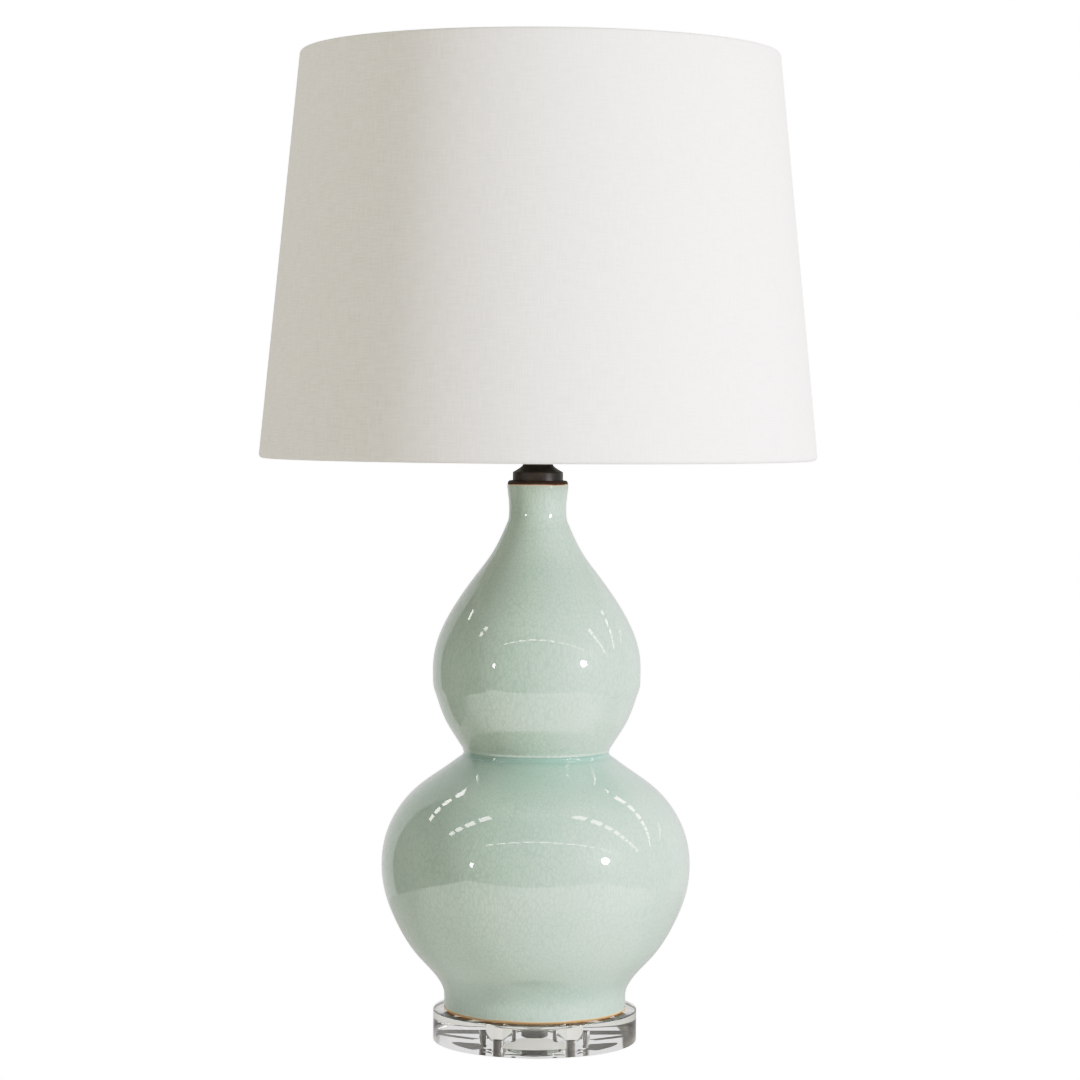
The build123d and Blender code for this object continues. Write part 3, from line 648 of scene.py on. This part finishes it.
        at_foot, at_lip = above_foot(1.5, 1.9), below_mouth(2.6, 2.3)
        for share, colour in (
            (times(tree, below_mouth(4.4, 3.0), 0.7), (0.62, 0.58, 0.47)),
            (below_mouth(3.1, 2.8), (0.34, 0.135, 0.055)),
            (at_lip, (0.030, 0.014, 0.008)),
            (times(tree, above_foot(1.9, 3.2), 0.5), settings.thin),
            (at_foot, settings.clay),
        ):
            body = blended(tree, share, body, colour)
        tree.links.new(body, shader.inputs["Base Color"])
        bare = maths(tree, "MAXIMUM", at_foot, times(tree, at_lip, 0.75))
        tree.links.new(ranged(tree, bare, 0.0, 1.0, 1.0, 0.0), shader.inputs["Coat Weight"])
        tree.links.new(ranged(tree, bare, 0.0, 1.0, 0.42, 0.8), shader.inputs["Roughness"])
        between_lines = maths(tree, "SUBTRACT", 1.0, crackle["Lines"])
        relief = maths(tree, "MULTIPLY_ADD", between_lines, 0.10, noisy(tree, place_at, 110.0))
        bumped(tree, shader, relief, 0.035 * MM)
        return material


# ---------------------------------------------------------------- disc


class LAMP_OT_disc(bpy.types.Operator):
    """Turn the clear disc, with its recess and the holes for its feet"""

    bl_idname = "lamp.disc"
    bl_label = "Clear Disc"

    def execute(self, context):
        settings = context.scene.lamp_disc
        low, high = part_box("acrylic_base")
        radius = high.x
        rim = radius - DISC_EDGE
        ceiling = low.z + RECESS_DEPTH
        outline = arc((rim, low.z + DISC_EDGE), DISC_EDGE, -90, 0)
        outline += arc((rim, high.z - DISC_EDGE), DISC_EDGE, 0, 90)
        outline += [(PIPE_HOLE_R, high.z), (PIPE_HOLE_R, ceiling)]
        outline += arc((RECESS_R - DISC_EDGE, ceiling - DISC_EDGE), DISC_EDGE, 90, 0)
        outline += arc((RECESS_R + DISC_EDGE / 3, low.z + DISC_EDGE / 3), DISC_EDGE / 3, 180, 270)
        mesh = lathe("clear_disc", outline, settings.turns)
        piece = place("clear_disc", mesh, "lamp_base", "acrylic", self.acrylic(settings), "acrylic_base")
        feet = frame["nodes"]["bumper_feet"].data
        foot_low, foot_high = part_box("bumper_feet")
        tops = [vertex.co for vertex in feet.vertices if vertex.co.z > foot_high.z - 0.1 * MM]
        length = foot_high.z - low.z
        bars = []
        for side_x in (-1, 1):
            for side_y in (-1, 1):
                own = [co for co in tops if co.x * side_x > 0 and co.y * side_y > 0]
                centre = sum(own, Vector()) / len(own)
                plug_r = max((co - centre).length for co in own) + PLUG_GAP
                bars.append(((centre.x, centre.y, low.z), plug_r, 2 * length, (0, 0, 1)))
        cut(piece, bars)
        crisp(piece.data)
        piece.visible_shadow = False
        return {"FINISHED"}

    @staticmethod
    def acrylic(settings):
        """Clear acrylic with polished faces, faintly swirled by the buffing wheel."""
        material, tree, shader = finish_of("clear_acrylic", 0.0, transmission_weight=1.0, ior=1.49)
        place_at = in_piece(tree)
        tint = blended(tree, noisy(tree, place_at, 25.0), settings.clear, (0.97, 0.99, 0.975))
        tree.links.new(tint, shader.inputs["Base Color"])
        bumped(tree, shader, noisy(tree, place_at, 35.0, 1.0), 0.01 * MM)
        return material


# ---------------------------------------------------------------- shade


class LAMP_OT_shade(bpy.types.Operator):
    """Make the linen shade, rolled over its wire rings"""

    bl_idname = "lamp.shade"
    bl_label = "Linen Shade"

    rise = 40
    ring_steps = 12

    def execute(self, context):
        settings = context.scene.lamp_shade
        low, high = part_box("shade_linen")
        bottom_r = high.x
        slant = hypot(bottom_r - SHADE_TOP_R, SHADE_HEIGHT)
        lean_in = (bottom_r - SHADE_TOP_R) / slant
        lean_up = SHADE_HEIGHT / slant
        bottom = low.z - ROLL_R * (lean_up - lean_in - 1)

        def on_wall(up, inward):
            """A point of the section: distance up the slant, and distance in from the outer face."""
            return (bottom_r - up * lean_in - inward * lean_up, bottom + up * lean_up - inward * lean_in)

        def hem(edge, toward):
            """The linen round one ring, from the outer face to the end of its lap and back."""
            centre = edge + toward * ROLL_R

            def round_ring(radius):
                """Half a turn round the ring, from the outer face to the inner one."""
                turns = [pi * step / self.ring_steps for step in range(self.ring_steps + 1)]
                return [on_wall(centre - toward * radius * sin(turn), ROLL_R - radius * cos(turn))
                        for turn in turns]

            lap = [(centre + toward * HEM_FLAT, 2 * ROLL_R),
                   (edge + toward * (HEM_LAP - HEM_FLAT), LAP_DEPTH),
                   (edge + toward * HEM_LAP, LAP_DEPTH)]
            there = [on_wall(up, inward) for up, inward in lap]
            back = [on_wall(up, inward - LINEN) for up, inward in reversed(lap)]
            return round_ring(ROLL_R) + there + back + round_ring(ROLL_R - LINEN)[::-1]

        def face(inward):
            """The straight part of the linen, between the rings."""
            return [on_wall(ROLL_R + (slant - 2 * ROLL_R) * step / self.rise, inward)
                    for step in range(1, self.rise)]

        outline = face(0) + hem(slant, -1) + face(LINEN)[::-1] + hem(0, 1)[::-1]

        def sewn(radius, angle, height):
            """The cloth where it laps over itself at the back, and its faint unevenness."""
            past = (angle - pi / 2) * radius / settings.seam
            lap = max(0.0, 0.5 + past) if past < 0.5 else 0.0
            around = Vector((cos(angle) * 5, sin(angle) * 5, height * 9))
            return radius + lap * 0.55 * MM + 0.10 * MM * noise.noise(around)

        mesh = lathe("shade_cloth", outline, settings.turns, sewn)
        crisp(mesh, 60)
        piece = place("shade_cloth", mesh, "shade", "linen", self.cloth(settings), "shade_linen")
        handled_finish(
            "white_styrene", ["shade_backing"],
            (0.86, 0.85, 0.82), (0.80, 0.785, 0.74), patch=9.0, grain=1400.0,
            wear=0.6, gloss=0.38, dull=0.55, depth=0.01 * MM)
        handled_finish(
            "white_wire", ["bottom_ring", "spider_fitter"],
            (0.80, 0.80, 0.77), (0.66, 0.65, 0.61), patch=60.0, grain=2200.0,
            wear=0.5, gloss=0.28, dull=0.5, depth=0.03 * MM)
        return {"FINISHED"}

    @staticmethod
    def cloth(settings):
        """Off-white linen: uneven threads, with a dull face."""
        material, tree, shader = finish_of("linen_cloth", 0.92, specular_ior_level=0.18)
        gap = [part * 0.86 for part in settings.linen]
        weave = use(tree, "Plain Weave", {
            "Pitch": settings.thread, "Slub": 0.7, "Thread": settings.linen, "Gap": gap})
        cast = ranged(tree, noisy(tree, in_piece(tree), 6.0, 3.0), 0.3, 0.7, 0.0, 0.10)
        colour = blended(tree, cast, weave["Colour"], (0.74, 0.71, 0.62))
        tree.links.new(colour, shader.inputs["Base Color"])
        tree.links.new(ranged(tree, weave["Height"], 0.0, 1.0, 0.96, 0.84), shader.inputs["Roughness"])
        bumped(tree, shader, weave["Height"], 0.05 * MM)
        return material


# ---------------------------------------------------------------- metalwork and small parts


class LAMP_OT_metalwork(bpy.types.Operator):
    """Finish the cap, saddle, socket, harp, finial, pipe and the small electrical parts"""

    bl_idname = "lamp.metalwork"
    bl_label = "Metalwork and Small Parts"

    def execute(self, context):
        settings = context.scene.lamp_metal
        handled_finish(
            "dark_bronze", ["vase_cap", "harp_saddle", "socket_cap", "socket_shell", "harp_wire",
                            "ferrule_left", "ferrule_right", "harp_stud", "finial_body"],
            settings.bronze, settings.rubbed, patch=70.0, grain=1500.0,
            wear=0.8, gloss=0.34, dull=0.52, depth=0.02 * MM,
            metallic=0.35, coat_weight=0.12, coat_roughness=0.3)
        handled_finish(
            "zinc_plated_steel", ["base_washer", "base_lock_washer", "lamp_pipe"],
            settings.steel, (0.42, 0.43, 0.44), patch=160.0, grain=1200.0,
            wear=0.7, gloss=0.10, dull=0.20, depth=0.01 * MM, metallic=1.0, rings=0.35 * MM)
        handled_finish(
            "dark_plated_steel", ["base_nut"],
            (0.070, 0.068, 0.063), (0.20, 0.195, 0.18), patch=220.0, grain=1200.0,
            wear=0.8, gloss=0.08, dull=0.22, depth=0.01 * MM, metallic=1.0)
        handled_finish(
            "plain_brass", ["terminal_screws", "centre_contact", "switch_shaft", "bulb_contact",
                            "finial_insert"],
            settings.brass, (0.42, 0.27, 0.10), patch=120.0, grain=1500.0,
            wear=0.7, gloss=0.20, dull=0.40, depth=0.01 * MM, metallic=1.0, rings=0.25 * MM)
        handled_finish(
            "pressed_aluminium", ["screw_shell", "bulb_base"],
            (0.76, 0.76, 0.75), (0.60, 0.60, 0.60), patch=130.0, grain=1500.0,
            wear=0.7, gloss=0.26, dull=0.45, depth=0.01 * MM, metallic=1.0, rings=0.3 * MM)
        handled_finish(
            "varnished_card", ["socket_liner"],
            (0.20, 0.145, 0.085), (0.30, 0.23, 0.15), patch=90.0, grain=700.0,
            wear=0.9, gloss=0.45, dull=0.75, depth=0.06 * MM)
        handled_finish(
            "black_phenolic", ["socket_core", "switch_knob"],
            (0.022, 0.018, 0.015), (0.05, 0.042, 0.036), patch=110.0, grain=1600.0,
            wear=0.6, gloss=0.25, dull=0.45, depth=0.01 * MM)
        handled_finish(
            "black_glass", ["bulb_insulator"],
            (0.012, 0.012, 0.014), (0.03, 0.03, 0.034), patch=60.0, grain=1500.0,
            wear=0.5, gloss=0.06, dull=0.16, depth=0.005 * MM)
        handled_finish(
            "black_rubber", ["cap_centring_ring"],
            (0.03, 0.03, 0.03), (0.07, 0.068, 0.065), patch=80.0, grain=1200.0,
            wear=0.8, gloss=0.7, dull=0.9, depth=0.04 * MM)
        handled_finish(
            "foot_rubber", ["bumper_feet"],
            (0.040, 0.032, 0.024), (0.085, 0.072, 0.056), patch=260.0, grain=1400.0,
            wear=0.9, gloss=0.55, dull=0.8, depth=0.12 * MM, rings=0.5 * MM)
        handled_finish(
            "brown_nylon", ["cord_grommet"],
            (0.05, 0.034, 0.024), (0.09, 0.066, 0.05), patch=140.0, grain=1500.0,
            wear=0.6, gloss=0.36, dull=0.55, depth=0.02 * MM)
        handled_finish(
            "soft_white_glass", ["bulb_glass"],
            (0.90, 0.89, 0.86), (0.84, 0.825, 0.79), patch=28.0, grain=1800.0,
            wear=0.7, gloss=0.16, dull=0.24, depth=0.004 * MM, coat_weight=1.0, coat_roughness=0.03)
        return {"FINISHED"}


# ---------------------------------------------------------------- studio


class LAMP_OT_studio(bpy.types.Operator):
    """Set the floor, the lights and the camera"""

    bl_idname = "lamp.studio"
    bl_label = "Studio"

    # the picture's tones
    shoulder = 0.55
    softness = 0.553
    white = 1.95

    # the table top: its corners, its glow in the glaze with a painted shadow at and behind the lamp, and
    # the painted warm glow it gives off into the clear disc and onto the lamp
    table = ((-1.03, -0.86), (0.91, -0.86), (0.34, 0.34), (-0.25, 0.34))
    mirrored_table = 2.15
    mirrored_shadow = 0.62
    shadow_edge = (-0.13, 0.02)
    table_glow = 0.74
    glow_share = 0.6

    # the dark card, painted shade seen only through the clear disc: how far behind the lamp and to each
    # side, and its edges at the middle and the ends
    card_behind = 0.16
    card_reach = 0.24
    card_low = (0.026, 0.056)
    card_high = (0.038, 0.065)

    # the ceiling: its height, and rows as (how far back, width, left end) with one right end, where
    # all but the width are shares of the height; the row over the lamp is bare above it
    ceiling_rise = 2.3
    rows = ((-1.10, 0.09, -0.97), (-0.28, 0.21, -1.42), (0.54, 0.23, -1.42), (1.45, 0.11, 2.0))
    row_end = 3.4
    fixture = 0.41
    fixture_gap = 0.18
    over_lamp = 0.4
    bare_ceiling = 0.78

    # the room, as the glaze mirrors it
    wall_light = (0.80, 0.79, 0.80)
    wall_dark = (0.12, 0.105, 0.088)
    ceiling_colour = (0.16, 0.15, 0.14)

    # where the lights aim, and how many points of its width the picture is shifted
    aim_at = Vector((0, 0, 0.4))
    picture_width = 1080
    off_centre = 2.5

    def execute(self, context):
        settings = context.scene.lamp_studio
        self.tone(context.scene.view_settings)
        context.scene.cycles.transmission_bounces = 16
        context.scene.cycles.max_bounces = 18
        self.floor(context)
        self.card(context)
        self.ceiling(context, settings)
        self.lights(context, settings)
        self.room(context, settings)
        self.camera(context, settings)
        return {"FINISHED"}

    def tone(self, view):
        """The picture's tones: even up to the middle, and rolled off towards white."""
        view.view_transform = "Standard"
        view.look = "None"
        view.use_curve_mapping = True
        curve = view.curve_mapping
        curve.use_clip = False
        curve.extend = "HORIZONTAL"
        spots = [(0.0, 0.0), (0.2, 0.2), (0.4, 0.4), (self.shoulder, self.shoulder)]
        for step in range(1, 6):
            light = self.shoulder + (self.white - self.shoulder) * step / 6
            left = exp((self.shoulder - light) / self.softness)
            spots.append((light, self.shoulder + (1 - self.shoulder) * (1 - left)))
        spots.append((self.white, 1.0))
        for colour in curve.curves[:3]:
            while len(colour.points) < len(spots):
                colour.points.new(1.0, 1.0)
            for point, spot in zip(colour.points, spots):
                point.location = spot
        curve.update()

    def panel(self, context, name, corners, material):
        """Flat four-sided faces in one mesh, each from its four corners."""
        mesh = bpy.data.meshes.new(name)
        points = [point for face in corners for point in face]
        faces = [range(start, start + 4) for start in range(0, len(points), 4)]
        mesh.from_pydata(points, [], faces)
        mesh.materials.append(material)
        piece = bpy.data.objects.new(name, mesh)
        context.scene.collection.objects.link(piece)
        return piece

    def floor(self, context):
        """A pale table top: white to the camera, glowing in the glaze with a painted shadow at and behind
        the lamp, and giving off a painted warm glow in the clear disc and onto the lamp.
        """
        material, tree, shader = finish_of("pale_floor", 0.8)
        place_at = in_piece(tree)
        tint = blended(tree, noisy(tree, place_at, 5.0), (0.80, 0.79, 0.76), (0.84, 0.83, 0.80))
        tree.links.new(tint, shader.inputs["Base Color"])
        path = add(tree, "ShaderNodeLightPath").outputs
        outside_disc = maths(tree, "LESS_THAN", path["Transmission Depth"], 0.5)
        mirrored = times(tree, path["Is Glossy Ray"], outside_disc)
        behind = add(tree, "ShaderNodeSeparateXYZ", {0: place_at}).outputs["Y"]
        # painted shadow: the table's glow in the glaze drops from just in front of the lamp backwards
        level = ranged(tree, behind, *self.shadow_edge, self.mirrored_table, self.mirrored_shadow)
        scattered = maths(tree, "MAXIMUM", path["Is Transmission Ray"], path["Is Diffuse Ray"])
        # painted warm glow: the table gives off light, seen through the clear disc and falling on the lamp
        # from below
        warm = glow(tree, (1.0, 0.955, 0.88), self.table_glow)
        seen = either(tree, times(tree, scattered, self.glow_share), shader.outputs[0], warm)
        seen = either(tree, mirrored, seen, glow(tree, (1.0, 0.975, 0.95), level))
        seen = either(tree, path["Is Camera Ray"], seen, glow(tree, (1, 1, 1), self.white))
        tree.links.new(seen, tree.nodes["Material Output"].inputs["Surface"])
        self.panel(context, "studio_floor", [[(x, y, 0) for x, y in self.table]], material)

    def card(self, context):
        """A low dark card behind the lamp, seen only through the clear disc: painted shade that gives the
        disc its dark bands.
        """
        material, tree, shader = finish_of("painted_shade_card", 0.9)
        # the card's dark grey is painted shade, seen through the clear disc as its dark bands
        mottle = noisy(tree, in_piece(tree), 30.0)
        tree.links.new(blended(tree, mottle, (0.075, 0.073, 0.070), (0.105, 0.102, 0.098)),
                       shader.inputs["Base Color"])
        behind = self.card_behind
        wings = [[(0, behind, self.card_low[0]), (end, behind, self.card_low[1]),
                  (end, behind, self.card_high[1]), (0, behind, self.card_high[0])]
                 for end in (-self.card_reach, self.card_reach)]
        piece = self.panel(context, "dark_flag", wings, material)
        for ray in ("camera", "diffuse", "glossy", "shadow"):
            setattr(piece, "visible_" + ray, False)

    def ceiling(self, context, settings):
        """Rows of light fittings overhead, seen only as they are mirrored in the glaze."""
        material, tree, shader = finish_of("ceiling_light")
        light = glow(tree, (1.0, 0.97, 0.90), settings.ceiling)
        tree.links.new(light, tree.nodes["Material Output"].inputs["Surface"])
        fittings = []
        rise = self.ceiling_rise
        step = self.fixture + self.fixture_gap
        for row, width, start in self.rows:
            front, back = [row * rise + side * width / 2 for side in (-1, 1)]
            for place_in_row in range(int((self.row_end - start) * rise / step)):
                left = start * rise + place_in_row * step
                right = left + self.fixture
                if abs(row) < self.over_lamp and right > -self.bare_ceiling and left < self.bare_ceiling:
                    continue
                fittings.append([(left, front, rise), (right, front, rise), (right, back, rise),
                                 (left, back, rise)])
        piece = self.panel(context, "ceiling_lights", fittings, material)
        piece.visible_camera = False
        piece.visible_shadow = False

    def lights(self, context, settings):
        """A round reflector at the front right, and a small weak one at the front left."""
        for name, azimuth, far, height, size, power, colour in (
            ("key", 52.4, 1.62, 0.535, (0.20, 0.22), settings.key, (0.925, 0.92, 0.985)),
            ("kicker", -47.6, 2.9, 0.61, (0.15, 0.26), settings.key * 0.18, (1.0, 0.97, 0.92)),
        ):
            lamp = bpy.data.lights.new(name, "AREA")
            lamp.shape = "ELLIPSE"
            lamp.size, lamp.size_y = size
            lamp.energy = power
            lamp.color = colour
            light = bpy.data.objects.new(name, lamp)
            turn = radians(azimuth)
            light.location = (sin(turn) * far, -cos(turn) * far, height)
            aim = self.aim_at - light.location
            light.rotation_mode = "QUATERNION"
            light.rotation_quaternion = aim.to_track_quat("-Z", "Y")
            light.visible_camera = False
            context.scene.collection.objects.link(light)

    def room(self, context, settings):
        """White to the camera, an uneven warm fill on matt surfaces, and a dim room in the gloss."""
        world = bpy.data.worlds.new("studio")
        context.scene.world = world
        world.use_nodes = True
        tree = world.node_tree
        tree.nodes.clear()
        path = add(tree, "ShaderNodeLightPath").outputs
        toward = add(tree, "ShaderNodeTexCoord").outputs["Generated"]
        x, y, z = add(tree, "ShaderNodeSeparateXYZ", {0: toward}).outputs
        matt = glow(tree, self.fill_colour(tree, settings, z), self.fill_level(tree, x, y, z),
                    "ShaderNodeBackground")
        gloss = glow(tree, self.mirrored_room(tree, x, y, z), 1.0, "ShaderNodeBackground")
        white = glow(tree, (1, 1, 1), self.white, "ShaderNodeBackground")
        unseen = either(tree, path["Is Diffuse Ray"], gloss, matt)
        seen = either(tree, path["Is Camera Ray"], unseen, white)
        add(tree, "ShaderNodeOutputWorld", {"Surface": seen})

    def mirrored_room(self, tree, x, y, z):
        """The walls all round, by degrees from the camera's side, under a dark ceiling."""
        azimuth = maths(tree, "ARCTAN2", x, times(tree, y, -1.0))
        stops = {
            -180: self.wall_light, -133: self.wall_light, -131: self.wall_dark, -72: self.wall_dark,
            -58: (0.26, 0.25, 0.24), 0: (0.20, 0.195, 0.185), 60: (0.34, 0.335, 0.33),
            119: (0.45, 0.445, 0.44), 122: self.wall_light, 180: self.wall_light}
        walls = ramp(tree, ranged(tree, azimuth, -pi, pi),
                     [((degrees + 180) / 360, colour) for degrees, colour in stops.items()])
        return blended(tree, ranged(tree, z, 0.55, 0.8), walls, self.ceiling_colour)

    @staticmethod
    def fill_colour(tree, settings, z):
        """The room's warm light, weaker from above than from the sides."""
        stops = [(0.0, 1.05), (0.5, 1.08), (0.8, 0.72), (1.0, 0.66)]
        by_height = ramp(tree, ranged(tree, z, -1.0, 1.0), stops)
        return add(tree, "ShaderNodeMix", {0: 1.0, 6: settings.room, 7: by_height},
                   data_type="RGBA", blend_type="MULTIPLY").outputs[2]

    @staticmethod
    def fill_level(tree, x, y, z):
        """The room's light: less from the upper left, more from the lower left and the front."""
        left = ranged(tree, x, 0.1, -0.7)
        level = 1.0
        for share, change in (
            (times(tree, left, ranged(tree, z, 0.0, -0.4)), 0.35),
            (times(tree, left, ranged(tree, z, 0.0, 0.6)), -0.5),
            (ranged(tree, y, 0.2, -0.9), 0.12),
        ):
            level = maths(tree, "MULTIPLY_ADD", share, change, level)
        return level

    def camera(self, context, settings):
        """The camera, as far off and as high as the photograph's."""
        lens = bpy.data.cameras.new("camera")
        lens.sensor_width = 36
        lens.lens = settings.lens
        lens.shift_x = self.off_centre / self.picture_width
        camera = bpy.data.objects.new("camera", lens)
        camera.location = settings.eye
        camera.rotation_mode = "QUATERNION"
        ahead = Vector((0, cos(settings.pitch), -sin(settings.pitch)))
        camera.rotation_quaternion = ahead.to_track_quat("-Z", "Y") @ Quaternion((0, 0, 1), settings.roll)
        context.scene.collection.objects.link(camera)
        context.scene.camera = camera


# ---------------------------------------------------------------- add-on


STEPS = (
    (LAMP_OT_vase, "lamp_vase", LampVaseSettings),
    (LAMP_OT_disc, "lamp_disc", LampDiscSettings),
    (LAMP_OT_shade, "lamp_shade", LampShadeSettings),
    (LAMP_OT_metalwork, "lamp_metal", LampMetalSettings),
    (LAMP_OT_studio, "lamp_studio", LampStudioSettings),
)


class LAMP_PT_builder(bpy.types.Panel):
    """Lists the steps that build the lamp, with their settings"""

    bl_label = "Gourd Lamp"
    bl_idname = "LAMP_PT_builder"
    bl_space_type = "VIEW_3D"
    bl_region_type = "UI"
    bl_category = "Lamp"

    def draw(self, context):
        for operator, name, settings in STEPS:
            box = self.layout.box()
            box.operator(operator.bl_idname)
            for setting in settings.__annotations__:
                box.prop(getattr(context.scene, name), setting)


def register():
    for operator, name, settings in STEPS:
        bpy.utils.register_class(settings)
        setattr(bpy.types.Scene, name, PointerProperty(type=settings))
        bpy.utils.register_class(operator)
    bpy.utils.register_class(LAMP_PT_builder)


def unregister():
    bpy.utils.unregister_class(LAMP_PT_builder)
    for operator, name, settings in reversed(STEPS):
        bpy.utils.unregister_class(operator)
        delattr(bpy.types.Scene, name)
        bpy.utils.unregister_class(settings)


def main():
    register()
    for shared in (handled_group, turned_group, weave_group, crackle_group):
        shared()
    for old in [thing for thing in bpy.data.objects if thing.name in ("Cube", "Light", "Camera")]:
        bpy.data.objects.remove(old)
    bpy.ops.lamp.vase()
    bpy.ops.lamp.disc()
    bpy.ops.lamp.shade()
    bpy.ops.lamp.metalwork()
    bpy.ops.lamp.studio()


if __name__ == "__main__":
    main()
